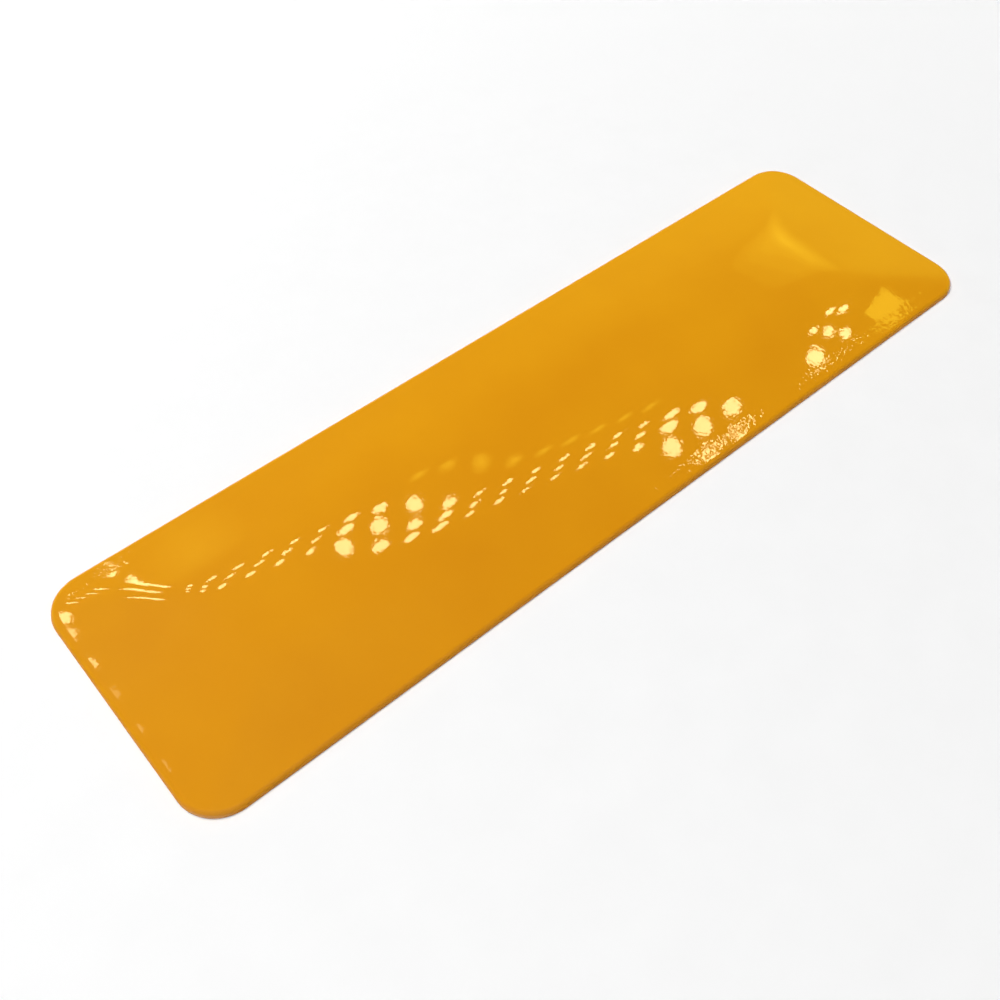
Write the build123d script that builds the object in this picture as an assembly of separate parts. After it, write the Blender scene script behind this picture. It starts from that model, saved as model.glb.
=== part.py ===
from build123d import *
import os

# Raised pavement marker. Millimetres: X along the lane line, Y across it, Z up from the road.
# The origin is at the middle of the marker, on the road plane.

# Pressed steel cover
length = 525.0
width = 150.0
corner_radius = 21.0
sheet = 2.0
rim_height = 3.0
crown_rise = 4.4
crown_half_flat = 6.0
shoulder_run = 42.0
ramp_run = 59.0
crease_blend = 0.9
lip_inside_radius = 0.5
lip_edge_land = 0.3

# Rib grid that backs the cover
rib_thickness = 3.0
rib_lift = 0.5
bond_gap = 0.1
lap_share = 0.45
lap_clearance = 0.15
cross_rib_count = 7
cross_rib_pitch = 72.0
end_rib_margin = 46.5
rib_edge_margin = 14.0
spine_end_margin = 28.0
flow_notch_radius = 14.0
flow_notch_depth = 1.6
flow_notch_offset = 32.0

# Flat straps that carry the studs
strap_width = 36.0
strap_thickness = 3.0
strap_edge_margin = 21.0
strap_bay = 1.5

# Weld studs
stud_radius = 4.0
stud_reach = 55.0
stud_spacing_y = 70.0
stud_foot_chamfer = 1.0

# Butyl strip inside the rim
seal_width = 10.0
seal_height = 1.0
seal_side_gap = 0.4

# Point spacing of the cover's surface, and how far the surface runs past the plan
grid_step = 6.0
grid_margin = 12.0
deep = 40.0

stud_x = strap_bay * cross_rib_pitch
stud_y = stud_spacing_y / 2
strap_top = rib_lift + strap_thickness
rib_half_length = width / 2 - rib_edge_margin
rib_height = rim_height + crown_rise - sheet - bond_gap - rib_lift
lap_height = rib_lift + lap_share * rib_height
half_slot = rib_thickness / 2 + lap_clearance


def arch_fall(y):
    """How far the arch lies below its crown: a flat middle, a shoulder, then a straight flank."""
    flank_start = crown_half_flat + shoulder_run
    flank_slope = crown_rise / (width / 2 - flank_start + shoulder_run / 2)
    turned = min(max((abs(y) - crown_half_flat) / shoulder_run, 0), 1)
    return flank_slope * (shoulder_run * (turned**3 - turned**4 / 2) + max(abs(y) - flank_start, 0))


def cover_height(x, y):
    """Height of the cover's top: the lower of the arch and the end ramp, eased where they cross."""
    arch = crown_rise - arch_fall(y)
    ramp = crown_rise * (length / 2 - abs(x)) / ramp_run
    overlap = max(crease_blend - abs(arch - ramp), 0) / crease_blend
    return rim_height + min(arch, ramp) - crease_blend * overlap**3 / 6


def places(extent):
    """Evenly spaced places across an extent, running a little past both its ends."""
    half = extent / 2 + grid_margin
    count = round(2 * half / grid_step)
    return [half * (2 * i / count - 1) for i in range(count + 1)]


cover_top = Face.make_surface_from_array_of_points(
    [[(x, y, cover_height(x, y)) for x in places(length)] for y in places(width)],
    tol=0.005,
    min_deg=3,
    max_deg=5,
)


def space_under(drop):
    """All the space below the cover's top surface, once that is moved straight down by drop."""
    return extrude(Pos(0, 0, -drop) * cover_top, amount=deep, dir=(0, 0, -1))


def plan_block(inset, bottom, top):
    """The marker's plan outline, moved inwards by inset, as a block between two heights."""
    outline = RectangleRounded(length - 2 * inset, width - 2 * inset, corner_radius - inset)
    return extrude(Pos(0, 0, bottom) * outline, amount=top - bottom)


def box_between(x, y, z):
    """A box from its low and high limits along each axis."""
    size = [high - low for low, high in (x, y, z)]
    return Pos(x[0], y[0], z[0]) * Box(*size, align=(Align.MIN,) * 3)


def dome_body(inset):
    """A solid dome that lies inset inside the cover's outer skin, with its lip rounded."""
    body = space_under(inset) & plan_block(inset, 0, deep)
    lip = min(lip_inside_radius + sheet, rim_height - lip_edge_land) - inset
    top_face = body.faces().sort_by(Axis.Z)[-1]
    return fillet(top_face.edges(), lip)


def build_dome_shell():
    """The pressed cover: one sheet, turned down to the road all the way round."""
    return dome_body(0) - dome_body(sheet)


rib_space = space_under(sheet + bond_gap)
end_rib_x = length / 2 - end_rib_margin
inner_rib_xs = [cross_rib_pitch * (i - (cross_rib_count - 1) / 2) for i in range(1, cross_rib_count - 1)]
rib_xs = [-end_rib_x, *inner_rib_xs, end_rib_x]
strap_xs = {"left": -stud_x, "right": stud_x}


def flow_notch(x, y, axis):
    """A shallow round notch in a rib's foot, which lets the bedding resin run through."""
    cutter = Cylinder(flow_notch_radius, 2 * rib_thickness)
    turn = Rot(90, 0, 0) if axis == "Y" else Rot(0, 90, 0)
    return Pos(x, y, rib_lift + flow_notch_depth - flow_notch_radius) * turn * cutter


def build_cross_rib(x):
    """A flat bar on edge across the marker, cut to the arch and slotted from above for the spine."""
    half = rib_thickness / 2
    bar = box_between((x - half, x + half), (-rib_half_length, rib_half_length), (rib_lift, deep))
    slot = box_between((x - rib_thickness, x + rib_thickness), (-half_slot, half_slot), (lap_height, deep))
    notches = [flow_notch(x, side * flow_notch_offset, "X") for side in (-1, 1)]
    return (bar & rib_space) - [slot, *notches]


def build_spine_rib():
    """A flat bar on edge along the crown, slotted from below over the cross ribs and the straps."""
    half = rib_thickness / 2
    reach = length / 2 - spine_end_margin
    bar = box_between((-reach, reach), (-half, half), (rib_lift, deep))
    lap_top = lap_height + lap_clearance
    slots = [box_between((x - half_slot, x + half_slot), (-deep, deep), (0, lap_top)) for x in rib_xs]
    strap_half = strap_width / 2 + lap_clearance
    pass_top = strap_top + lap_clearance
    for x in strap_xs.values():
        slots.append(box_between((x - strap_half, x + strap_half), (-deep, deep), (0, pass_top)))
    return (bar & rib_space) - slots


def build_strap(x):
    """A flat bar across the marker that bears up on the arch at both ends."""
    half_width = strap_width / 2
    half_length = width / 2 - strap_edge_margin
    bar = box_between((x - half_width, x + half_width), (-half_length, half_length), (rib_lift, strap_top))
    return bar & rib_space


def build_stud():
    """A weld stud: its top end is fused to the strap's underside, and its foot is chamfered."""
    tall = stud_reach + rib_lift
    rod = Pos(0, 0, -stud_reach) * Cylinder(stud_radius, tall, align=(Align.CENTER, Align.CENTER, Align.MIN))
    foot = rod.edges().sort_by(Axis.Z)[0]
    return chamfer(foot, stud_foot_chamfer)


def build_studs():
    """The four studs, at the corners of a rectangle."""
    stud = build_stud()
    places_xy = [(x, y) for x in (-stud_x, stud_x) for y in (-stud_y, stud_y)]
    return Compound(children=[Pos(x, y, 0) * stud for x, y in places_xy])


def build_seal():
    """A flat butyl strip laid round the inside of the rim, no thicker than the room under the cover."""
    outer = sheet + seal_side_gap
    strip = plan_block(outer, 0, seal_height) - plan_block(outer + seal_width, 0, seal_height)
    return strip & rib_space


parts = {
    "dome_shell": build_dome_shell(),
    "spine_rib": build_spine_rib(),
    "anchor_studs": build_studs(),
    "edge_seal": build_seal(),
}
for number, x in enumerate(rib_xs, start=1):
    parts[f"cross_rib_{number}"] = build_cross_rib(x)
for side, x in strap_xs.items():
    parts[f"anchor_strap_{side}"] = build_strap(x)

os.makedirs("parts", exist_ok=True)
for name, part in parts.items():
    export_step(part, f"parts/{name}.step")
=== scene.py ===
import math

import bpy
import numpy as np
from mathutils import Matrix, Vector


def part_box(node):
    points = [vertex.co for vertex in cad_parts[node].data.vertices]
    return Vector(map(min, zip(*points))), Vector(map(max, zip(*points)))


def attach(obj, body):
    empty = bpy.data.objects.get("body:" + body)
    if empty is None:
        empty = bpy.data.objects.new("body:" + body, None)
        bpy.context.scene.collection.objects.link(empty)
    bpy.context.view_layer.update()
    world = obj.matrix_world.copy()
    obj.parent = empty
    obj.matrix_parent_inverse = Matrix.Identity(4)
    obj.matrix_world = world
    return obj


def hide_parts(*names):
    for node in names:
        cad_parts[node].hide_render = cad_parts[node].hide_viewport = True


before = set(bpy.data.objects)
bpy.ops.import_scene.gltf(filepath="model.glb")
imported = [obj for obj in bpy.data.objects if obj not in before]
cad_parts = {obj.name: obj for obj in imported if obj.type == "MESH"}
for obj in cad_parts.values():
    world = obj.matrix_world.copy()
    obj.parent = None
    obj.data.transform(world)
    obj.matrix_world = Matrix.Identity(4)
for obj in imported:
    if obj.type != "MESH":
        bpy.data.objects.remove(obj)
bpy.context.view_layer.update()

# ---------------------------------------------------------------------------------------------
# Pressed cover
# One sheet of 2 mm low-carbon steel, pressed to a shallow arch with a ramp at each end and turned
# down to the road all round. It is then primed and baked with a golden-yellow gloss enamel.
# ---------------------------------------------------------------------------------------------

cover_low, cover_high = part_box("dome_shell")
COVER_LENGTH = cover_high.x - cover_low.x
COVER_WIDTH = cover_high.y - cover_low.y
CORNER_RADIUS = 0.021
SHEET = 0.002
RIM_HEIGHT = 0.003
CROWN_RISE = 0.0044
CROWN_HALF_FLAT = 0.006
SHOULDER_RUN = 0.042
RAMP_RUN = 0.059
CREASE_EASE = 0.0009
LIP_RADIUS = 0.0025
LIP_INSIDE = 0.0005
EDGE_BREAK = 0.0002
BLANK_STEP = 0.0021
PRESS_WAVE = 0.00001
PEEL_BAND = (0.004, 0.011)
BAND_FADE = 0.0015
THIN_FILM = 0.0022


def linear(sheet_colour):
    """A six-digit sRGB hex colour as linear RGBA."""
    channels = [int(sheet_colour[i : i + 2], 16) / 255 for i in (0, 2, 4)]
    return (*(c / 12.92 if c <= 0.04045 else ((c + 0.055) / 1.055) ** 2.4 for c in channels), 1.0)


def put(tree, kind, values=None, **settings):
    """Adds a node with its settings. Each input is given a constant, or linked to a node's output."""
    node = tree.nodes.new(kind)
    for name, setting in settings.items():
        setattr(node, name, setting)
    for key, value in (values or {}).items():
        if isinstance(value, bpy.types.NodeSocket):
            tree.links.new(value, node.inputs[key])
        else:
            node.inputs[key].default_value = value
    return node


def start_material(name):
    """An empty material with its output node, ready for its own nodes."""
    material = bpy.data.materials.new(name)
    material.use_nodes = True
    material.node_tree.nodes.clear()
    output = put(material.node_tree, "ShaderNodeOutputMaterial")
    return material, material.node_tree, output


def start_tree(name, sizes):
    """An empty geometry tree with a geometry input and one named input for each size."""
    tree = bpy.data.node_groups.new(name, "GeometryNodeTree")
    tree.interface.new_socket("Geometry", in_out="INPUT", socket_type="NodeSocketGeometry")
    tree.interface.new_socket("Geometry", in_out="OUTPUT", socket_type="NodeSocketGeometry")
    for size in sizes:
        tree.interface.new_socket(size, in_out="INPUT", socket_type="NodeSocketFloat")
    return tree, tree.nodes.new("NodeGroupInput").outputs, tree.nodes.new("NodeGroupOutput")


def run_tree(piece, tree, sizes):
    """Sets a tree's inputs by identifier, keeps the mesh that it makes, and takes the tree off."""
    modifier = piece.modifiers.new(tree.name, "NODES")
    modifier.node_group = tree
    for socket in tree.interface.items_tree:
        if socket.in_out == "INPUT" and socket.name in sizes:
            modifier[socket.identifier] = sizes[socket.name]
    graph = bpy.context.evaluated_depsgraph_get()
    made = bpy.data.meshes.new_from_object(piece.evaluated_get(graph), depsgraph=graph)
    piece.modifiers.clear()
    piece.data = made


def new_piece(name, vertices, faces, edges=()):
    """A mesh object at the origin."""
    mesh = bpy.data.meshes.new(name)
    mesh.from_pydata([tuple(v) for v in vertices], list(edges), faces)
    piece = bpy.data.objects.new(name, mesh)
    bpy.context.scene.collection.objects.link(piece)
    return piece


def blank_grid(inset):
    """Plan places of the blank, row by row: even rows across the middle, and rows round the corners."""
    radius = CORNER_RADIUS - inset
    straight_x = COVER_LENGTH / 2 - CORNER_RADIUS
    straight_y = COVER_WIDTH / 2 - CORNER_RADIUS
    turns = [math.radians(90) * i / 14 for i in range(1, 15)]
    across = np.linspace(-straight_y, straight_y, round(2 * straight_y / BLANK_STEP) + 1)
    rows = [(-straight_y - radius * math.sin(t), radius * math.cos(t)) for t in reversed(turns)]
    rows += [(y, radius) for y in across]
    rows += [(straight_y + radius * math.sin(t), radius * math.cos(t)) for t in turns]
    along = np.linspace(-1, 1, round(COVER_LENGTH / BLANK_STEP) + 1)
    return np.array([[(u * (straight_x + bulge), y) for u in along] for y, bulge in rows])


def blank_ring(plan):
    """Indexes of the grid's edge places, going round anticlockwise, and their outward directions."""
    rows, columns = plan.shape[:2]
    index = np.arange(rows * columns).reshape(rows, columns)
    ring = np.concatenate([index[0, :-1], index[:-1, -1], index[-1, :0:-1], index[:0:-1, 0]])
    edge = plan.reshape(-1, 2)[ring]
    straight = np.array([COVER_LENGTH / 2 - CORNER_RADIUS, COVER_WIDTH / 2 - CORNER_RADIUS])
    outward = edge - np.clip(edge, -straight, straight)
    return ring, outward / np.linalg.norm(outward, axis=1)[:, None]


def lip_section():
    """The turned-down edge, from the top round to the underside: (way out, height, share of lift)."""
    quarter = [math.radians(90) * i / 8 for i in range(9)]
    outer = [
        (LIP_RADIUS * math.sin(t), RIM_HEIGHT - LIP_RADIUS * (1 - math.cos(t)), 1.0) for t in quarter[1:]
    ]
    inner = [
        (LIP_INSIDE * math.sin(t), RIM_HEIGHT - SHEET - LIP_INSIDE * (1 - math.cos(t)), 1.0)
        for t in reversed(quarter[2::2])
    ]
    foot = [
        (LIP_RADIUS, EDGE_BREAK, 0.0),
        (LIP_RADIUS - EDGE_BREAK, 0.0, 0.0),
        (LIP_INSIDE + EDGE_BREAK, 0.0, 0.0),
        (LIP_INSIDE, EDGE_BREAK, 0.0),
    ]
    return outer + foot + inner


def cut_blank():
    """The flat blank with its edge turned down, before the arch and ramps are pressed into it."""
    plan = blank_grid(LIP_RADIUS)
    rows, columns = plan.shape[:2]
    count = rows * columns
    ring, outward = blank_ring(plan)
    flat = plan.reshape(-1, 2)
    top = np.column_stack([flat, np.full(count, RIM_HEIGHT)])
    under = np.column_stack([flat, np.full(count, RIM_HEIGHT - SHEET)])
    vertices, lift = [top, under], [np.ones(2 * count)]
    loops = [ring]
    for number, (out, height, share) in enumerate(lip_section()):
        edge = flat[ring] + outward * out
        vertices.append(np.column_stack([edge, np.full(len(ring), height)]))
        lift.append(np.full(len(ring), share))
        loops.append(2 * count + number * len(ring) + np.arange(len(ring)))
    loops.append(ring + count)
    faces = []
    for i in range(rows - 1):
        for j in range(columns - 1):
            a, b = i * columns + j, (i + 1) * columns + j
            faces.append((a, a + 1, b + 1, b))
            faces.append((count + b, count + b + 1, count + a + 1, count + a))
    for upper, lower in zip(loops, loops[1:]):
        around = zip(upper, np.roll(upper, -1), np.roll(lower, -1), lower)
        faces += [(int(d), int(c), int(b), int(a)) for a, b, c, d in around]
    return np.concatenate(vertices), faces, np.concatenate(lift)


def press_tree(press_sizes):
    """The press: raises each place to the lower of the arch and the end ramp, eased at the crease."""
    tree, given, output = start_tree("press_cover", press_sizes)
    math_node = "ShaderNodeMath"
    place = put(tree, "ShaderNodeSeparateXYZ", {0: put(tree, "GeometryNodeInputPosition").outputs[0]})
    lift = put(tree, "GeometryNodeInputNamedAttribute", {"Name": "lift"}, data_type="FLOAT").outputs[0]

    # The arch: flat at the crown, turned over the shoulder by an even ease, straight down the flank.
    across = put(tree, math_node, {0: place.outputs["Y"]}, operation="ABSOLUTE").outputs[0]
    past_flat = put(tree, math_node, {0: across, 1: given["Half Flat"]}, operation="SUBTRACT").outputs[0]
    share = {0: past_flat, 1: given["Shoulder Run"]}
    turned = put(tree, math_node, share, operation="DIVIDE", use_clamp=True).outputs[0]
    cube = put(tree, math_node, {0: turned, 1: 3.0}, operation="POWER").outputs[0]
    fourth = put(tree, math_node, {0: cube, 1: turned}, operation="MULTIPLY").outputs[0]
    eased = put(tree, math_node, {0: fourth, 1: -0.5, 2: cube}, operation="MULTIPLY_ADD").outputs[0]
    past_shoulder = put(tree, math_node, {0: past_flat, 1: given["Shoulder Run"]}, operation="SUBTRACT")
    flank = put(tree, math_node, {0: past_shoulder.outputs[0], 1: 0.0}, operation="MAXIMUM").outputs[0]
    run = {0: eased, 1: given["Shoulder Run"], 2: flank}
    fall = put(tree, math_node, run, operation="MULTIPLY_ADD").outputs[0]
    half_width = put(tree, math_node, {0: given["Width"], 1: 0.5}, operation="MULTIPLY").outputs[0]
    spans = {0: half_width, 1: given["Half Flat"]}
    beyond_flat = put(tree, math_node, spans, operation="SUBTRACT").outputs[0]
    middle = {0: given["Shoulder Run"], 1: -0.5, 2: beyond_flat}
    full_fall = put(tree, math_node, middle, operation="MULTIPLY_ADD").outputs[0]
    slope = put(tree, math_node, {0: given["Crown Rise"], 1: full_fall}, operation="DIVIDE").outputs[0]
    drop = put(tree, math_node, {0: fall, 1: slope}, operation="MULTIPLY").outputs[0]
    arch = put(tree, math_node, {0: given["Crown Rise"], 1: drop}, operation="SUBTRACT").outputs[0]

    # The ramp at each end, and the crease where it meets the arch.
    reach = put(tree, math_node, {0: place.outputs["X"]}, operation="ABSOLUTE").outputs[0]
    half = put(tree, math_node, {0: given["Length"], 1: 0.5}, operation="MULTIPLY").outputs[0]
    left = put(tree, math_node, {0: half, 1: reach}, operation="SUBTRACT").outputs[0]
    climb = {0: given["Crown Rise"], 1: given["Ramp Run"]}
    grade = put(tree, math_node, climb, operation="DIVIDE").outputs[0]
    ramp = put(tree, math_node, {0: left, 1: grade}, operation="MULTIPLY").outputs[0]
    lower = {0: arch, 1: ramp, 2: given["Crease Ease"]}
    pressed = put(tree, math_node, lower, operation="SMOOTH_MIN").outputs[0]

    # Springback leaves the sheet very slightly wavy, over about 50 mm.
    wave = put(tree, "ShaderNodeTexNoise", {"Scale": 1 / 0.05, "Detail": 0.0}, noise_dimensions="3D")
    swing = put(tree, math_node, {0: wave.outputs["Fac"], 1: 0.5}, operation="SUBTRACT").outputs[0]
    waved = {0: swing, 1: given["Wave"], 2: pressed}
    height = put(tree, math_node, waved, operation="MULTIPLY_ADD").outputs[0]
    raised = put(tree, math_node, {0: height, 1: lift}, operation="MULTIPLY").outputs[0]
    offset = put(tree, "ShaderNodeCombineXYZ", {"Z": raised}).outputs[0]
    moved = put(tree, "GeometryNodeSetPosition", {"Geometry": given["Geometry"], "Offset": offset})
    tree.links.new(moved.outputs[0], output.inputs["Geometry"])
    return tree


def baked_enamel():
    """Golden-yellow baked gloss enamel on primed steel: wet-looking, with a fine orange peel."""
    material, tree, output = start_material("baked_gloss_enamel_golden_yellow")
    math_node = "ShaderNodeMath"
    at = put(tree, "ShaderNodeTexCoord").outputs["Object"]

    # Film thickness drifts by a few hundredths of a millimetre over tens of millimetres.
    drift = put(tree, "ShaderNodeTexNoise", {"Vector": at, "Scale": 1 / 0.07, "Detail": 3.0})
    tint = put(tree, "ShaderNodeValToRGB", {"Fac": drift.outputs["Fac"]})
    for stop, position, colour in zip(tint.color_ramp.elements, (0.3, 0.7), ("DD8E03", "E29505")):
        stop.position = position
        stop.color = linear(colour)

    # Distance in from the plan's edge, measured at right angles to the nearer side.
    place = put(tree, "ShaderNodeSeparateXYZ", {0: at})
    reach = put(tree, math_node, {0: place.outputs["X"]}, operation="ABSOLUTE").outputs[0]
    across = put(tree, math_node, {0: place.outputs["Y"]}, operation="ABSOLUTE").outputs[0]
    end_gap = put(tree, math_node, {0: COVER_LENGTH / 2, 1: reach}, operation="SUBTRACT").outputs[0]
    side_gap = put(tree, math_node, {0: COVER_WIDTH / 2, 1: across}, operation="SUBTRACT").outputs[0]
    inset = put(tree, math_node, {0: end_gap, 1: side_gap}, operation="MINIMUM").outputs[0]

    # The film thins over the sharp turn of the lip, and cures duller there.
    edge = {"Value": inset, "From Min": THIN_FILM, "From Max": 0.0}
    thin = put(tree, "ShaderNodeMapRange", edge, interpolation_type="SMOOTHSTEP").outputs[0]
    gloss = put(tree, math_node, {0: thin, 1: -0.8, 2: 1.0}, operation="MULTIPLY_ADD").outputs[0]

    # Orange peel: soft dimples about 5 mm and 1.6 mm across, a few microns deep.
    broad = put(tree, "ShaderNodeTexNoise", {"Vector": at, "Scale": 1 / 0.005, "Detail": 0.0})
    fine = put(tree, "ShaderNodeTexNoise", {"Vector": at, "Scale": 1 / 0.0016, "Detail": 0.0})
    dimple = put(tree, "ShaderNodeBump", {"Height": broad.outputs["Fac"], "Distance": 5e-6})
    peel_bump = {"Height": fine.outputs["Fac"], "Distance": 3e-6, "Normal": dimple.outputs["Normal"]}
    peel = put(tree, "ShaderNodeBump", peel_bump)

    # Along the long sides the film has run and cured rough, in worm-like ripples 3 mm apart.
    low, high = PEEL_BAND
    inner = {"Value": side_gap, "From Min": high + BAND_FADE, "From Max": high - BAND_FADE}
    outer = {"Value": side_gap, "From Min": low - BAND_FADE, "From Max": low + BAND_FADE}
    not_past = put(tree, "ShaderNodeMapRange", inner, interpolation_type="SMOOTHSTEP").outputs[0]
    not_before = put(tree, "ShaderNodeMapRange", outer, interpolation_type="SMOOTHSTEP").outputs[0]
    band = put(tree, math_node, {0: not_past, 1: not_before}, operation="MULTIPLY").outputs[0]
    worm_look = {"Vector": at, "Scale": 1 / 0.003, "Detail": 0.0, "Distortion": 1.0}
    worms = put(tree, "ShaderNodeTexNoise", worm_look)
    ripple_bump = {
        "Height": worms.outputs["Fac"],
        "Strength": band,
        "Distance": 3.5e-5,
        "Normal": peel.outputs["Normal"],
    }
    ripple = put(tree, "ShaderNodeBump", ripple_bump)
    shader = put(
        tree,
        "ShaderNodeBsdfPrincipled",
        {
            "Base Color": tint.outputs["Color"],
            "Roughness": 0.5,
            "Specular IOR Level": 0.1,
            "Coat Weight": gloss,
            "Coat Roughness": 0.02,
            "Coat IOR": 1.5,
            "Normal": ripple.outputs["Normal"],
            "Coat Normal": ripple.outputs["Normal"],
        },
    )
    tree.links.new(shader.outputs[0], output.inputs["Surface"])
    return material


def dip_primer():
    """Electro-dipped epoxy primer, left bare on the underside: matt dark grey, slightly mottled."""
    material, tree, output = start_material("electro_dip_epoxy_primer")
    at = put(tree, "ShaderNodeTexCoord").outputs["Object"]
    mottle = put(tree, "ShaderNodeTexNoise", {"Vector": at, "Scale": 1 / 0.015, "Detail": 4.0})
    tint = put(tree, "ShaderNodeValToRGB", {"Fac": mottle.outputs["Fac"]})
    for stop, position, colour in zip(tint.color_ramp.elements, (0.35, 0.7), ("4A4C4E", "5B5D5E")):
        stop.position = position
        stop.color = linear(colour)
    # The film's own grain, about 0.8 mm.
    grain = put(tree, "ShaderNodeTexNoise", {"Vector": at, "Scale": 1 / 0.0008, "Detail": 1.0})
    bump = put(tree, "ShaderNodeBump", {"Height": grain.outputs["Fac"], "Distance": 1e-5})
    look = {"Base Color": tint.outputs["Color"], "Roughness": 0.55, "Normal": bump.outputs["Normal"]}
    shader = put(tree, "ShaderNodeBsdfPrincipled", look)
    tree.links.new(shader.outputs[0], output.inputs["Surface"])
    return material


blank_vertices, blank_faces, blank_lift = cut_blank()
cover = new_piece("enamelled_cover", blank_vertices, blank_faces)
cover.data.attributes.new("lift", "FLOAT", "POINT").data.foreach_set("value", blank_lift)
press_sizes = {
    "Length": COVER_LENGTH,
    "Width": COVER_WIDTH,
    "Crown Rise": CROWN_RISE,
    "Half Flat": CROWN_HALF_FLAT,
    "Shoulder Run": SHOULDER_RUN,
    "Ramp Run": RAMP_RUN,
    "Crease Ease": CREASE_EASE,
    "Wave": PRESS_WAVE,
}
run_tree(cover, press_tree(press_sizes), press_sizes)
cover.data.attributes.remove(cover.data.attributes["lift"])
cover.data.materials.append(baked_enamel())
cover.data.materials.append(dip_primer())
for face in cover.data.polygons:
    face.material_index = int(face.normal.z < -0.5)
cover.data.shade_smooth()
cover.data.set_sharp_from_angle(angle=math.radians(35))
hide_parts("dome_shell")
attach(cover, "root")

# ---------------------------------------------------------------------------------------------
# Rib grid
# Flat bars on edge, sheared and slotted from 3 mm hot-rolled strip and half-lapped together. They
# keep the dark mill scale of the rolls, with a thin bloom of rust where it has lifted.
# ---------------------------------------------------------------------------------------------

CROSS_RIBS = [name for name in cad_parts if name.startswith("cross_rib_")]


def mill_scale_steel():
    """Hot-rolled steel with its mill scale on: blue-black and half glossy, with orange-brown bloom."""
    material, tree, output = start_material("mill_scale_hot_rolled_steel")
    at = put(tree, "ShaderNodeTexCoord").outputs["Object"]
    # Scale lifts in flakes about 8 mm across.
    flakes = put(tree, "ShaderNodeTexNoise", {"Vector": at, "Scale": 1 / 0.008, "Detail": 5.0})
    colour = put(tree, "ShaderNodeValToRGB", {"Fac": flakes.outputs["Fac"]})
    for stop, position, value in zip(colour.color_ramp.elements, (0.42, 0.68), ("33373D", "5A5550")):
        stop.position = position
        stop.color = linear(value)
    rust = colour.color_ramp.elements.new(0.78)
    rust.color = linear("7A4A2C")
    sheen = {"Value": flakes.outputs["Fac"], "To Min": 0.35, "To Max": 0.8}
    gloss = put(tree, "ShaderNodeMapRange", sheen)
    # Rolling and shearing leave pits and burrs about 1 mm across.
    pits = put(tree, "ShaderNodeTexNoise", {"Vector": at, "Scale": 1 / 0.001, "Detail": 3.0})
    bump = put(tree, "ShaderNodeBump", {"Height": pits.outputs["Fac"], "Distance": 4e-5})
    look = {
        "Base Color": colour.outputs["Color"],
        "Metallic": 0.7,
        "Roughness": gloss.outputs[0],
        "Normal": bump.outputs["Normal"],
    }
    shader = put(tree, "ShaderNodeBsdfPrincipled", look)
    tree.links.new(shader.outputs[0], output.inputs["Surface"])
    return material


def paint_node(node, material):
    """Gives a CAD node its finish, through its object's own slots."""
    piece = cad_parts[node]
    if not piece.material_slots:
        piece.data.materials.append(material)
    for place in piece.material_slots:
        place.material = material


rib_finish = mill_scale_steel()
for node in ["spine_rib", *CROSS_RIBS]:
    paint_node(node, rib_finish)

# ---------------------------------------------------------------------------------------------
# Anchor straps
# Flat bar 36 mm wide and 3 mm thick, cut to length and wire-brushed bright for welding. Each one
# passes under the spine, bears up on the arch at its ends, and carries two studs.
# ---------------------------------------------------------------------------------------------


def wire_brushed_steel():
    """Hot-rolled bar after the wire wheel: grey metal with fine brush lines across the marker."""
    material, tree, output = start_material("wire_brushed_hot_rolled_steel")
    at = put(tree, "ShaderNodeTexCoord").outputs["Object"]
    # Brush lines about 0.4 mm apart, drawn coarser than a real wheel's so that they show.
    stretch = put(tree, "ShaderNodeMapping", {"Vector": at, "Scale": (1 / 0.0004, 1 / 0.02, 1 / 0.0004)})
    lines = put(tree, "ShaderNodeTexNoise", {"Vector": stretch.outputs[0], "Scale": 1.0, "Detail": 2.0})
    patches = put(tree, "ShaderNodeTexNoise", {"Vector": at, "Scale": 1 / 0.012, "Detail": 3.0})
    colour = put(tree, "ShaderNodeValToRGB", {"Fac": patches.outputs["Fac"]})
    for stop, position, value in zip(colour.color_ramp.elements, (0.35, 0.6), ("6A6A69", "9C9B98")):
        stop.position = position
        stop.color = linear(value)
    sheen = {"Value": lines.outputs["Fac"], "To Min": 0.28, "To Max": 0.5}
    gloss = put(tree, "ShaderNodeMapRange", sheen)
    bump = put(tree, "ShaderNodeBump", {"Height": lines.outputs["Fac"], "Distance": 1e-5})
    look = {
        "Base Color": colour.outputs["Color"],
        "Metallic": 1.0,
        "Roughness": gloss.outputs[0],
        "Normal": bump.outputs["Normal"],
    }
    shader = put(tree, "ShaderNodeBsdfPrincipled", look)
    tree.links.new(shader.outputs[0], output.inputs["Surface"])
    return material


strap_finish = wire_brushed_steel()
STRAPS = ["anchor_strap_left", "anchor_strap_right"]
for node in STRAPS:
    paint_node(node, strap_finish)

# ---------------------------------------------------------------------------------------------
# Weld beads
# Short stitch welds along both sides of each cross rib's top edge hold it to the cover, and a ring
# of weld holds each stud to its strap. Each bead is a row of overlapping ripples of frozen metal.
# ---------------------------------------------------------------------------------------------

stud_low, stud_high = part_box("anchor_studs")
STUD_RADIUS = 0.004
STUD_XS = (stud_low.x + STUD_RADIUS, stud_high.x - STUD_RADIUS)
STUD_YS = (stud_low.y + STUD_RADIUS, stud_high.y - STUD_RADIUS)
STRAP_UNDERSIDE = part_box("anchor_strap_left")[0].z
STITCH_LENGTH = 0.014
STITCH_CENTRES = (-0.046, -0.018, 0.018, 0.046)
BEAD_RADIUS = 0.0013
RIPPLE_PITCH = 0.0011


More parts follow.
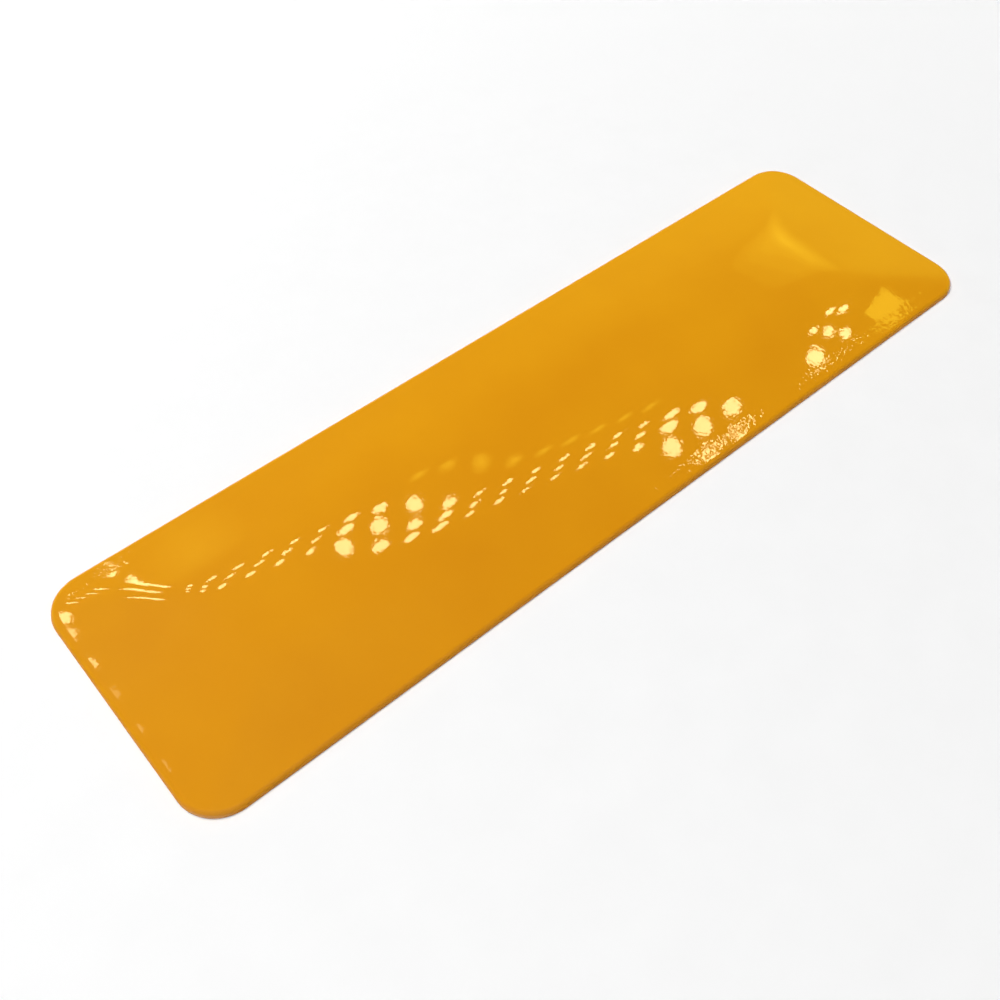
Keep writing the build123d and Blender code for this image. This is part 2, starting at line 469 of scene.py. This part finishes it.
def weld_metal():
    """Mild steel weld: bright and rippled, tinted straw and blue where the heat has spread."""
    material, tree, output = start_material("mild_steel_weld_bead")
    at = put(tree, "ShaderNodeTexCoord").outputs["Object"]
    # Heat tint drifts over a few millimetres of bead.
    heat = put(tree, "ShaderNodeTexNoise", {"Vector": at, "Scale": 1 / 0.006, "Detail": 2.0})
    tint = put(tree, "ShaderNodeValToRGB", {"Fac": heat.outputs["Fac"]})
    for stop, position, value in zip(tint.color_ramp.elements, (0.35, 0.5), ("5C6478", "A39C8E")):
        stop.position = position
        stop.color = linear(value)
    tint.color_ramp.elements.new(0.62).color = linear("9A7E58")
    grit = put(tree, "ShaderNodeTexNoise", {"Vector": at, "Scale": 1 / 0.0004, "Detail": 2.0})
    bump = put(tree, "ShaderNodeBump", {"Height": grit.outputs["Fac"], "Distance": 2e-5})
    look = {
        "Base Color": tint.outputs["Color"],
        "Metallic": 1.0,
        "Roughness": 0.38,
        "Normal": bump.outputs["Normal"],
    }
    shader = put(tree, "ShaderNodeBsdfPrincipled", look)
    tree.links.new(shader.outputs[0], output.inputs["Surface"])
    return material


def bead_tree(material, under_cover):
    """Lays overlapping ripples along the seams, each turned to face along its seam."""
    sizes = ["Bead Radius", "Ripple Pitch"]
    tree, given, output = start_tree("weld_beads", sizes)
    seams = put(tree, "GeometryNodeMeshToCurve", {"Mesh": given["Geometry"]}).outputs[0]
    if under_cover:
        # The torch follows the underside of the cover, which is straight above the seam.
        cover_shape = put(tree, "GeometryNodeObjectInfo", {"Object": cover}).outputs["Geometry"]
        up = {"Target Geometry": cover_shape, "Ray Direction": (0.0, 0.0, 1.0), "Ray Length": SHEET * 10}
        roof = put(tree, "GeometryNodeRaycast", up)
        short = {"Curve": seams, "Length": given["Ripple Pitch"]}
        seams = put(tree, "GeometryNodeResampleCurve", short, mode="LENGTH").outputs[0]
        laid = {"Geometry": seams, "Position": roof.outputs["Hit Position"]}
        seams = put(tree, "GeometryNodeSetPosition", laid).outputs[0]
    steps = {"Curve": seams, "Length": given["Ripple Pitch"]}
    spots = put(tree, "GeometryNodeCurveToPoints", steps, mode="LENGTH")
    drop = {"Segments": 10, "Rings": 6, "Radius": given["Bead Radius"]}
    ripple = put(tree, "GeometryNodeMeshUVSphere", drop)
    flat = put(tree, "GeometryNodeTransform", {"Geometry": ripple.outputs[0], "Scale": (1.0, 0.8, 0.62)})
    uneven = {"Min": (0.88, 0.88, 0.9), "Max": (1.1, 1.1, 1.1), "Seed": 7}
    swell = put(tree, "FunctionNodeRandomValue", uneven, data_type="FLOAT_VECTOR")
    row = {
        "Points": spots.outputs["Points"],
        "Instance": flat.outputs[0],
        "Rotation": spots.outputs["Rotation"],
        "Scale": swell.outputs[0],
    }
    beads = put(tree, "GeometryNodeInstanceOnPoints", row)
    solid = put(tree, "GeometryNodeRealizeInstances", {"Geometry": beads.outputs[0]})
    smooth = put(tree, "GeometryNodeSetShadeSmooth", {"Geometry": solid.outputs[0]})
    finished = put(tree, "GeometryNodeSetMaterial", {"Geometry": smooth.outputs[0], "Material": material})
    tree.links.new(finished.outputs[0], output.inputs["Geometry"])
    return tree


def rib_seams():
    """Two points for each stitch, beside each rib, where its faces come up to the cover."""
    points, edges = [], []
    for node in CROSS_RIBS:
        low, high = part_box(node)
        for x in (low.x - BEAD_RADIUS / 3, high.x + BEAD_RADIUS / 3):
            for centre in STITCH_CENTRES:
                edges.append((len(points), len(points) + 1))
                points += [(x, centre + side * STITCH_LENGTH / 2, SHEET / 2) for side in (-1, 1)]
    return points, edges


def stud_seams(around=24):
    """A ring round the top of each stud, against its strap's underside."""
    points, edges = [], []
    for x in STUD_XS:
        for y in STUD_YS:
            first = len(points)
            for i in range(around):
                t = 2 * math.pi * i / around
                radius = STUD_RADIUS + BEAD_RADIUS / 3
                points.append((x + radius * math.cos(t), y + radius * math.sin(t), STRAP_UNDERSIDE))
                edges.append((first + i, first + (i + 1) % around))
    return points, edges


weld_finish = weld_metal()
bead_sizes = {"Bead Radius": BEAD_RADIUS, "Ripple Pitch": RIPPLE_PITCH}
bead_groups = (("rib_stitch_welds", rib_seams(), True), ("stud_ring_welds", stud_seams(), False))
for name, (points, edges), under_cover in bead_groups:
    beads = new_piece(name, points, [], edges)
    run_tree(beads, bead_tree(weld_finish, under_cover), bead_sizes)
    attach(beads, "root")

# ---------------------------------------------------------------------------------------------
# Anchor studs
# Fully threaded M8 weld studs, thread-rolled from wire with a chamfered foot, then bright zinc
# plated. They stand in drilled holes full of resin, which locks round the thread.
# ---------------------------------------------------------------------------------------------

THREAD_PITCH = 0.00125
THREAD_DEPTH = 0.6134 * THREAD_PITCH
STUD_TOP = STRAP_UNDERSIDE
STUD_FOOT = stud_low.z
FOOT_CHAMFER = 0.001


def stud_tree(material):
    """A stud at every point: a core with a pointed foot, and a thread wound on it as a helical ridge."""
    sizes = ["Outer Radius", "Thread Depth", "Pitch", "Reach", "Chamfer"]
    tree, given, output = start_tree("rolled_stud", sizes)
    math_node = "ShaderNodeMath"
    core = {0: given["Outer Radius"], 1: given["Thread Depth"]}
    core_radius = put(tree, math_node, core, operation="SUBTRACT").outputs[0]
    above_tip = {0: given["Reach"], 1: given["Chamfer"]}
    wound = put(tree, math_node, above_tip, operation="SUBTRACT").outputs[0]
    turns = put(tree, math_node, {0: wound, 1: given["Pitch"]}, operation="DIVIDE").outputs[0]
    above_foot = put(tree, "ShaderNodeCombineXYZ", {"Z": given["Chamfer"]}).outputs[0]

    winding = {"Resolution": 28, "Rotations": turns, "Height": wound}
    winding |= {"Start Radius": core_radius, "End Radius": core_radius}
    helix = put(tree, "GeometryNodeCurveSpiral", winding).outputs[0]
    upright = put(tree, "GeometryNodeSetCurveNormal", {"Curve": helix}, mode="Z_UP").outputs[0]

    # A metric ridge, an eighth of the pitch wide at its crest, with its root sunk into the core.
    root = put(tree, math_node, {0: given["Pitch"], 1: 1.375}, operation="MULTIPLY").outputs[0]
    crest = put(tree, math_node, {0: given["Pitch"], 1: 0.125}, operation="MULTIPLY").outputs[0]
    tall = put(tree, math_node, {0: given["Thread Depth"], 1: 2.0}, operation="MULTIPLY").outputs[0]
    ridge = {"Bottom Width": root, "Top Width": crest, "Height": tall, "Offset": 0.0}
    section = put(tree, "GeometryNodeCurvePrimitiveQuadrilateral", ridge, mode="TRAPEZOID").outputs[0]
    facing = {"Geometry": section, "Rotation": (0.0, 0.0, math.radians(-90))}
    outward = put(tree, "GeometryNodeTransform", facing).outputs[0]

    # The ridge fades into the core at both ends, as a rolled thread runs out.
    along = put(tree, "GeometryNodeSplineParameter").outputs["Factor"]
    grown = put(tree, "ShaderNodeMapRange", {"Value": along, "From Max": 0.03, "To Min": 0.1}).outputs[0]
    run_out = {"Value": along, "From Min": 1.0, "From Max": 0.97}
    shrunk = put(tree, "ShaderNodeMapRange", run_out).outputs[0]
    fade = put(tree, math_node, {0: grown, 1: shrunk}, operation="MINIMUM").outputs[0]
    sweep = {"Curve": upright, "Profile Curve": outward, "Scale": fade, "Fill Caps": True}
    thread = put(tree, "GeometryNodeCurveToMesh", sweep).outputs[0]
    lifted = {"Geometry": thread, "Translation": above_foot}
    raised = put(tree, "GeometryNodeTransform", lifted).outputs[0]

    rod = {"Vertices": 28, "Radius Top": core_radius, "Radius Bottom": core_radius, "Depth": wound}
    shank = put(tree, "GeometryNodeMeshCone", rod).outputs[0]
    shank = put(tree, "GeometryNodeTransform", {"Geometry": shank, "Translation": above_foot}).outputs[0]
    narrowed = {0: core_radius, 1: given["Chamfer"]}
    tip_radius = put(tree, math_node, narrowed, operation="SUBTRACT").outputs[0]
    foot = {"Vertices": 28, "Depth": given["Chamfer"]}
    foot |= {"Radius Top": core_radius, "Radius Bottom": tip_radius}
    tip = put(tree, "GeometryNodeMeshCone", foot).outputs[0]
    whole = put(tree, "GeometryNodeJoinGeometry")
    for part in (raised, shank, tip):
        tree.links.new(part, whole.inputs[0])

    pattern = put(tree, "GeometryNodeMeshToPoints", {"Mesh": given["Geometry"]}).outputs[0]
    studs = put(tree, "GeometryNodeInstanceOnPoints", {"Points": pattern, "Instance": whole.outputs[0]})
    solid = put(tree, "GeometryNodeRealizeInstances", {"Geometry": studs.outputs[0]})
    finished = put(tree, "GeometryNodeSetMaterial", {"Geometry": solid.outputs[0], "Material": material})
    tree.links.new(finished.outputs[0], output.inputs["Geometry"])
    return tree


def bright_zinc():
    """Electroplated zinc, clear passivated: bright silver-grey with a faint blue and straw bloom."""
    material, tree, output = start_material("bright_zinc_plate_clear_passivated")
    at = put(tree, "ShaderNodeTexCoord").outputs["Object"]
    # The passivate's interference colours drift over about 10 mm.
    bloom = put(tree, "ShaderNodeTexNoise", {"Vector": at, "Scale": 1 / 0.01, "Detail": 1.0})
    tint = put(tree, "ShaderNodeValToRGB", {"Fac": bloom.outputs["Fac"]})
    for stop, position, value in zip(tint.color_ramp.elements, (0.35, 0.65), ("BFC6D2", "D2CDBA")):
        stop.position = position
        stop.color = linear(value)
    # Plating grain, drawn at 0.3 mm so that it shows.
    grain = put(tree, "ShaderNodeTexNoise", {"Vector": at, "Scale": 1 / 0.0003, "Detail": 2.0})
    sheen = {"Value": grain.outputs["Fac"], "To Min": 0.22, "To Max": 0.42}
    gloss = put(tree, "ShaderNodeMapRange", sheen)
    bump = put(tree, "ShaderNodeBump", {"Height": grain.outputs["Fac"], "Distance": 5e-6})
    look = {
        "Base Color": tint.outputs["Color"],
        "Metallic": 1.0,
        "Roughness": gloss.outputs[0],
        "Normal": bump.outputs["Normal"],
    }
    shader = put(tree, "ShaderNodeBsdfPrincipled", look)
    tree.links.new(shader.outputs[0], output.inputs["Surface"])
    return material


stud_feet = [(x, y, STUD_FOOT) for x in STUD_XS for y in STUD_YS]
studs = new_piece("threaded_anchor_studs", stud_feet, [])
stud_sizes = {
    "Outer Radius": STUD_RADIUS,
    "Thread Depth": THREAD_DEPTH,
    "Pitch": THREAD_PITCH,
    "Reach": STUD_TOP - STUD_FOOT,
    "Chamfer": FOOT_CHAMFER,
}
run_tree(studs, stud_tree(bright_zinc()), stud_sizes)
studs.data.shade_smooth()
studs.data.set_sharp_from_angle(angle=math.radians(40))
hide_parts("anchor_studs")
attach(studs, "root")

# ---------------------------------------------------------------------------------------------
# Butyl strip
# Preformed butyl tape 10 mm wide and 1 mm thick, laid by hand round the inside of the rim to hold
# the bedding resin in. Its edges are rounded, it wanders a little, and its two ends nearly meet.
# ---------------------------------------------------------------------------------------------

strip_low, strip_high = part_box("edge_seal")
STRIP_WIDTH = 0.010
STRIP_THICKNESS = strip_high.z - strip_low.z
STRIP_EDGE_ROUND = 0.00045
STRIP_STEP = 0.002
STRIP_WANDER = 0.0004
STRIP_CORNER = CORNER_RADIUS - (COVER_LENGTH / 2 - strip_high.x) - STRIP_WIDTH / 2


def strip_tree(material):
    """Sweeps the tape's section round a rounded rectangle, left open by one step at the joint."""
    sizes = ["Length", "Width", "Corner", "Tape Width", "Tape Thickness", "Edge Round", "Step", "Wander"]
    tree, given, output = start_tree("butyl_strip", sizes)
    math_node = "ShaderNodeMath"
    box = {"Width": given["Length"], "Height": given["Width"]}
    outline = put(tree, "GeometryNodeCurvePrimitiveQuadrilateral", box).outputs[0]
    corner = {"Curve": outline, "Count": 12, "Radius": given["Corner"]}
    rounded = put(tree, "GeometryNodeFilletCurve", corner, mode="POLY").outputs[0]
    even = {"Curve": rounded, "Length": given["Step"]}
    stepped = put(tree, "GeometryNodeResampleCurve", even, mode="LENGTH").outputs[0]
    opened = put(tree, "GeometryNodeSetSplineCyclic", {"Geometry": stepped, "Cyclic": False}).outputs[0]
    upright = put(tree, "GeometryNodeSetCurveNormal", {"Curve": opened}, mode="Z_UP").outputs[0]

    tape = {"Width": given["Tape Width"], "Height": given["Tape Thickness"]}
    section = put(tree, "GeometryNodeCurvePrimitiveQuadrilateral", tape).outputs[0]
    soft = {"Curve": section, "Count": 4, "Radius": given["Edge Round"]}
    soft_section = put(tree, "GeometryNodeFilletCurve", soft, mode="POLY").outputs[0]
    sweep = {"Curve": upright, "Profile Curve": soft_section, "Fill Caps": True}
    laid = put(tree, "GeometryNodeCurveToMesh", sweep).outputs[0]

    # The hand wanders over about 40 mm of tape.
    hand = put(tree, "ShaderNodeTexNoise", {"Scale": 1 / 0.04, "Detail": 0.0}, noise_dimensions="3D")
    about_zero = {0: hand.outputs["Color"], 1: (0.5, 0.5, 0.5)}
    centred = put(tree, "ShaderNodeVectorMath", about_zero, operation="SUBTRACT")
    sideways = {0: centred.outputs[0], 1: (1.0, 1.0, 0.0)}
    level = put(tree, "ShaderNodeVectorMath", sideways, operation="MULTIPLY").outputs[0]
    drift = {0: level, "Scale": given["Wander"]}
    offset = put(tree, "ShaderNodeVectorMath", drift, operation="SCALE").outputs[0]
    half_up = put(tree, math_node, {0: given["Tape Thickness"], 1: 0.5}, operation="MULTIPLY").outputs[0]
    lift = put(tree, "ShaderNodeCombineXYZ", {"Z": half_up}).outputs[0]
    on_road = put(tree, "ShaderNodeVectorMath", {0: offset, 1: lift}, operation="ADD").outputs[0]
    placed = put(tree, "GeometryNodeSetPosition", {"Geometry": laid, "Offset": on_road}).outputs[0]
    finished = put(tree, "GeometryNodeSetMaterial", {"Geometry": placed, "Material": material})
    tree.links.new(finished.outputs[0], output.inputs["Geometry"])
    return tree


def butyl():
    """Butyl sealing tape: black, dull and slightly tacky, with thumb marks and a dust of talc."""
    material, tree, output = start_material("preformed_butyl_tape")
    at = put(tree, "ShaderNodeTexCoord").outputs["Object"]
    talc = put(tree, "ShaderNodeTexNoise", {"Vector": at, "Scale": 1 / 0.012, "Detail": 4.0})
    colour = put(tree, "ShaderNodeValToRGB", {"Fac": talc.outputs["Fac"]})
    for stop, position, value in zip(colour.color_ramp.elements, (0.5, 0.75), ("1B1B1C", "3C3B39")):
        stop.position = position
        stop.color = linear(value)
    # Thumb marks about 14 mm across, over the tape's own 1 mm grain.
    thumbs = put(tree, "ShaderNodeTexNoise", {"Vector": at, "Scale": 1 / 0.014, "Detail": 0.0})
    grain = put(tree, "ShaderNodeTexNoise", {"Vector": at, "Scale": 1 / 0.001, "Detail": 2.0})
    pressed = put(tree, "ShaderNodeBump", {"Height": thumbs.outputs["Fac"], "Distance": 4e-4})
    bump_look = {"Height": grain.outputs["Fac"], "Distance": 3e-5, "Normal": pressed.outputs["Normal"]}
    bump = put(tree, "ShaderNodeBump", bump_look)
    look = {"Base Color": colour.outputs["Color"], "Roughness": 0.6, "Normal": bump.outputs["Normal"]}
    shader = put(tree, "ShaderNodeBsdfPrincipled", look)
    tree.links.new(shader.outputs[0], output.inputs["Surface"])
    return material


strip = new_piece("laid_butyl_strip", [], [])
strip_sizes = {
    "Length": strip_high.x - strip_low.x - STRIP_WIDTH,
    "Width": strip_high.y - strip_low.y - STRIP_WIDTH,
    "Corner": STRIP_CORNER,
    "Tape Width": STRIP_WIDTH,
    "Tape Thickness": STRIP_THICKNESS,
    "Edge Round": STRIP_EDGE_ROUND,
    "Step": STRIP_STEP,
    "Wander": STRIP_WANDER,
}
run_tree(strip, strip_tree(butyl()), strip_sizes)
strip.data.shade_smooth()
strip.data.set_sharp_from_angle(angle=math.radians(50))
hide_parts("edge_seal")
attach(strip, "root")

# ---------------------------------------------------------------------------------------------
# Floor, light and camera
# A plain pale floor and a large soft light overhead. Small round ceiling lamps, a few soft patches
# and a warm glow low on one side show only where the gloss of the cover mirrors them.
# ---------------------------------------------------------------------------------------------

FLOOR_SIZE = 12.0
KEY_PLACE = (-0.5, 0.6, 2.6)
KEY_SIZE = 2.4
KEY_RADIANCE = 4.5
LAMP_CEILING = 3.0
FIRST_LAMP = Vector((0.2596, 2.7893))
LAMP_COLUMN = Vector((0.1037, -0.0983))
LAMP_ROW = Vector((-0.0584, -0.0930))
BACK_LAMP = Vector((-6.0, -4.6))
BACK_PITCH = 0.34
BACK_LAMP_SIZE = 0.12
SMALL_LAMP = 0.042
END_LAMP = 0.05
MIDDLE_LAMP = 0.065
LARGE_LAMP = 0.07
LAMP_RADIANCE = 15.0
LAMP_COLOUR = (1.0, 0.86, 0.42)
CLUSTER_PLACE = Vector((2.897, 0.899))
CLUSTER_COLUMN = Vector((0.049, -0.048))
CLUSTER_ROW = Vector((-0.145, -0.055))
RING_GAP = 0.003
GHOST_ROW = 2.1
GHOST_RING = 0.028
GHOST_RADIANCE = 1.1
FAR_GLOW_PLACE = Vector((3.85, 2.20))
FAR_GLOW_RING = 0.16
FAR_GLOW_RADIANCE = 0.5
NEAR_GLOW_PLACE = Vector((0.55, 3.22))
NEAR_GLOW_RING = 0.12
NEAR_GLOW_RADIANCE = 0.35
WINDOW_PLACE = Vector((3.25, 0.785))
WINDOW_SIZE = 0.13
WINDOW_RADIANCE = 0.25 * LAMP_RADIANCE
END_RUNS = (
    ((0.23, 3.42), (-0.51, 2.32), 6, 1.0),
    ((-0.535, 2.24), (-0.54, 2.09), 2, 0.7),
    ((-0.54, 1.93), (-0.545, 1.59), 3, 0.2),
    ((0.27, 3.29), (0.27, 2.88), 8, 1.0),
    ((0.14, 3.06), (0.09, 2.64), 8, 1.0),
    ((-0.12, 2.51), (-0.10, 2.31), 5, 1.0),
)
FILL = 0.12
BACKDROP = 0.93
WALLS = 0.35
GLOW_COLOUR = (1.0, 0.86, 0.05)
GLOW_SIDE = (0.55, 0.83, 0.0)


def pale_floor():
    """Matt opal acrylic, lit from below where the overhead light falls away, so it stays even."""
    material, tree, output = start_material("matt_opal_acrylic_light_table")
    at = put(tree, "ShaderNodeTexCoord").outputs["Object"]
    math_node = "ShaderNodeMath"
    away = put(tree, "ShaderNodeVectorMath", {0: at}, operation="LENGTH").outputs["Value"]
    rise = put(tree, math_node, {0: away, 1: KEY_PLACE[2]}, operation="DIVIDE").outputs[0]
    spread = put(tree, math_node, {0: rise, 1: rise, 2: 1.0}, operation="MULTIPLY_ADD").outputs[0]
    left = put(tree, math_node, {0: spread, 1: -2.0}, operation="POWER").outputs[0]
    made_up = {0: left, 1: FILL - BACKDROP, 2: BACKDROP - FILL}
    lost = put(tree, math_node, made_up, operation="MULTIPLY_ADD")
    grain = put(tree, "ShaderNodeTexNoise", {"Vector": at, "Scale": 40.0, "Detail": 2.0})
    ramp = put(tree, "ShaderNodeValToRGB", {"Fac": grain.outputs["Fac"]})
    ramp.color_ramp.elements[0].color = linear("FAFAFA")
    ramp.color_ramp.elements[1].color = linear("FFFFFF")
    matt = put(tree, "ShaderNodeBsdfDiffuse", {"Color": ramp.outputs["Color"]}).outputs[0]
    glow = put(tree, "ShaderNodeEmission", {"Strength": lost.outputs[0]}).outputs[0]
    shader = put(tree, "ShaderNodeAddShader", {0: matt, 1: glow})
    tree.links.new(shader.outputs[0], output.inputs["Surface"])
    return material


def add_lamp(name, place, target, size, radiance, shape="DISK"):
    """An area light of a given radiance, turned to face a target."""
    data = bpy.data.lights.new(name, "AREA")
    data.shape = shape
    data.size = size
    area = math.pi * size**2 / 4 if shape == "DISK" else size**2
    data.energy = radiance * math.pi * area
    lamp = bpy.data.objects.new(name, data)
    lamp.location = place
    lamp.rotation_mode = "QUATERNION"
    lamp.rotation_quaternion = (Vector(target) - Vector(place)).to_track_quat("-Z", "Y")
    bpy.context.scene.collection.objects.link(lamp)
    return lamp


def add_mirrored_lamp(name, plan_place, size, radiance, colour, shape="DISK", lift=0.0):
    """A ceiling lamp that shows only in the gloss, and leaves the floor's own colour alone."""
    lamp = add_lamp(name, (*plan_place, LAMP_CEILING + lift), (0, 0, 0), size, radiance, shape)
    lamp.data.color = colour
    lamp.visible_diffuse = False


def add_soft_patch(name, plan_place, ring_width, rings, radiance):
    """A patch that brightens towards its middle: discs of growing size, one a little above another."""
    for ring in range(1, rings + 1):
        size = ring_width * ring
        lift = RING_GAP * ring
        add_mirrored_lamp(f"{name}_{ring}", plan_place, size, radiance, GLOW_COLOUR, lift=lift)


def studio_world():
    """White fill and backdrop, and pale walls with a warm glow on one side that only gloss mirrors."""
    world = bpy.data.worlds.new("studio")
    bpy.context.scene.world = world
    world.use_nodes = True
    tree = world.node_tree
    tree.nodes.clear()
    way = put(tree, "ShaderNodeTexCoord").outputs["Generated"]
    height = put(tree, "ShaderNodeSeparateXYZ", {0: way}).outputs["Z"]
    glow = put(tree, "ShaderNodeValToRGB", {"Fac": height})
    glow.color_ramp.interpolation = "EASE"
    stops = [(0.0, 1.0), (0.4, 1.5), (0.48, 1.9), (0.53, 1.6)]
    stops += [(0.6, 1.15), (0.7, 0.75), (0.78, 0.5), (0.95, 0.35)]
    for position, level in stops[2:]:
        glow.color_ramp.elements.new(position)
    for stop, (position, level) in zip(glow.color_ramp.elements, stops):
        stop.position = position
        stop.color = (*(level * channel for channel in GLOW_COLOUR), 1.0)
    toward = put(tree, "ShaderNodeVectorMath", {0: way, 1: GLOW_SIDE}, operation="DOT_PRODUCT")
    sided = {"Value": toward.outputs["Value"], "From Min": -0.3, "From Max": 0.1}
    side = put(tree, "ShaderNodeMapRange", sided, interpolation_type="SMOOTHSTEP").outputs[0]
    walls = {"Fac": side, "Color1": (WALLS, WALLS, WALLS, 1.0), "Color2": glow.outputs["Color"]}
    mirrored = put(tree, "ShaderNodeMixRGB", walls).outputs["Color"]
    path = put(tree, "ShaderNodeLightPath")
    plain = {"Color1": (FILL, FILL, FILL, 1.0), "Color2": (BACKDROP, BACKDROP, BACKDROP, 1.0)}
    plain["Fac"] = path.outputs["Is Camera Ray"]
    unmirrored = put(tree, "ShaderNodeMixRGB", plain).outputs["Color"]
    choice = {"Fac": path.outputs["Is Glossy Ray"], "Color1": unmirrored, "Color2": mirrored}
    seen = put(tree, "ShaderNodeMixRGB", choice).outputs["Color"]
    light = put(tree, "ShaderNodeBackground", {"Color": seen})
    tree.links.new(light.outputs[0], put(tree, "ShaderNodeOutputWorld").inputs["Surface"])


half_floor = FLOOR_SIZE / 2
floor_corners = [(x, y, 0) for x, y in ((-1, -1), (1, -1), (1, 1), (-1, 1))]
floor_corners = [(x * half_floor, y * half_floor, z) for x, y, z in floor_corners]
floor = new_piece("floor", floor_corners, [(0, 1, 2, 3)])
floor.data.materials.append(pale_floor())

for column in range(1, 21):
    diameter = MIDDLE_LAMP if 7 <= column <= 10 else LARGE_LAMP if column >= 18 else SMALL_LAMP
    for row in range(3):
        spot = FIRST_LAMP + LAMP_COLUMN * column + LAMP_ROW * row
        add_mirrored_lamp(f"lamp_{column}_{row}", spot, diameter, LAMP_RADIANCE, LAMP_COLOUR)
for column, row in ((0, -1), (1, -1), (0, 0), (1, 0), (2, 0), (1, 1)):
    spot = CLUSTER_PLACE + CLUSTER_COLUMN * column + CLUSTER_ROW * row
    diameter = LARGE_LAMP if row == 1 else SMALL_LAMP
    add_mirrored_lamp(f"far_lamp_{column}_{row}", spot, diameter, LAMP_RADIANCE, LAMP_COLOUR)
for column in range(9):
    for row in range(2):
        spot = BACK_LAMP + BACK_PITCH * Vector((column, row))
        add_mirrored_lamp(f"back_{column}_{row}", spot, BACK_LAMP_SIZE, LAMP_RADIANCE, LAMP_COLOUR)
for run, (start, stop, count, share) in enumerate(END_RUNS):
    for step in range(count):
        spot = Vector(start).lerp(Vector(stop), step / (count - 1))
        add_mirrored_lamp(f"end_{run}_{step}", spot, END_LAMP, share * LAMP_RADIANCE, LAMP_COLOUR)
for column in range(9, 18):
    spot = FIRST_LAMP + LAMP_COLUMN * column - LAMP_ROW * GHOST_ROW
    add_soft_patch(f"ghost_{column}", spot, GHOST_RING, 3, GHOST_RADIANCE)
add_soft_patch("far_glow", FAR_GLOW_PLACE, FAR_GLOW_RING, 6, FAR_GLOW_RADIANCE)
add_mirrored_lamp("window", WINDOW_PLACE, WINDOW_SIZE, WINDOW_RADIANCE, GLOW_COLOUR, "SQUARE")
add_soft_patch("near_glow", NEAR_GLOW_PLACE, NEAR_GLOW_RING, 4, NEAR_GLOW_RADIANCE)

key = add_lamp("key", KEY_PLACE, (0, 0, 0), KEY_SIZE, KEY_RADIANCE, "SQUARE")
key.visible_glossy = False
studio_world()
bpy.context.scene.view_settings.view_transform = "Standard"

CAMERA_PLACE = Vector((-0.28465, -0.28218, 0.45283))
CAMERA_RIGHT = Vector((0.75974, -0.65017, 0.00812))
CAMERA_UP = Vector((0.51161, 0.60544, 0.60967))
CAMERA_LENS = 40.6
SENSOR_WIDTH = 36.0
camera = bpy.data.objects.new("camera", bpy.data.cameras.new("camera"))
camera.data.lens = CAMERA_LENS
camera.data.sensor_width = SENSOR_WIDTH
camera.data.clip_start = 0.01
turn = Matrix((CAMERA_RIGHT, CAMERA_UP, CAMERA_RIGHT.cross(CAMERA_UP))).transposed()
camera.matrix_world = Matrix.Translation(CAMERA_PLACE) @ turn.to_4x4()
bpy.context.scene.collection.objects.link(camera)
bpy.context.scene.camera = camera
